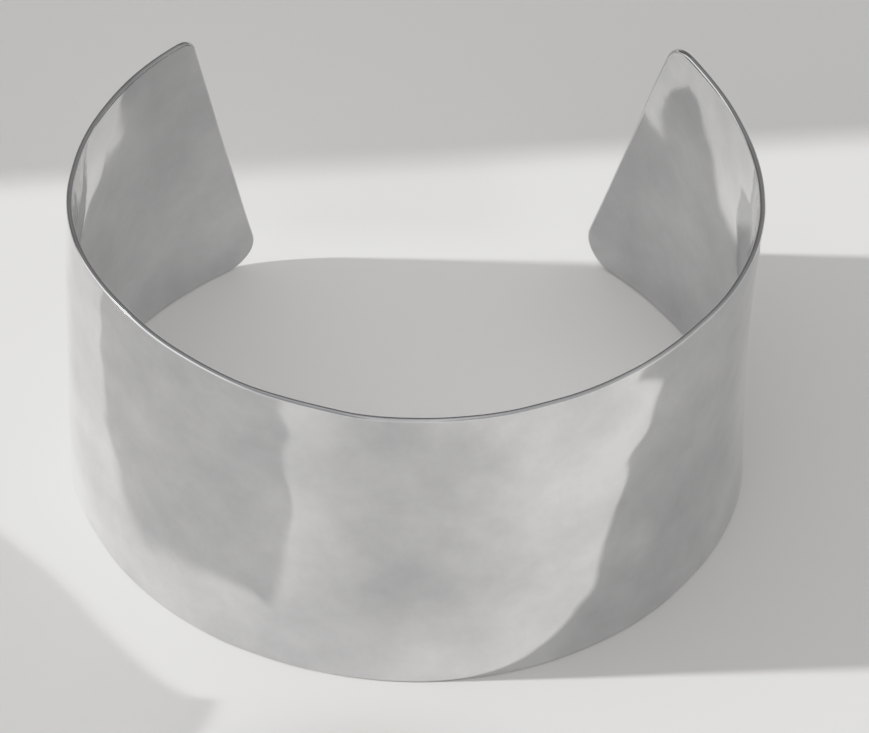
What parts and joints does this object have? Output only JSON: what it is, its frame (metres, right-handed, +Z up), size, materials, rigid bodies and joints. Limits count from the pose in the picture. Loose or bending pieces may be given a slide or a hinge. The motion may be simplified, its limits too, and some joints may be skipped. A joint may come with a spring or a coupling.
{
  "type": "open cuff bangle",
  "caption": "Wide plain open cuff bangle: one strip of polished silver sheet bent into an oval, open at the back, with slanted rounded ends.",
  "frame": {"origin": "middle of the footprint on the surface that the bangle rests on", "axes": "+Z up along the wrist, +Y towards the opening between the two ends, +X across the widest sides"},
  "size_m": [0.062, 0.0526, 0.0349],
  "materials": {
    "polished_silver": "mirror-polished sterling silver sheet, planished smooth by hand, faint hairlines and softly broken edges"
  },
  "bodies": {
    "root": {"cuff_band": "polished_silver"}
  },
  "joints": []
}
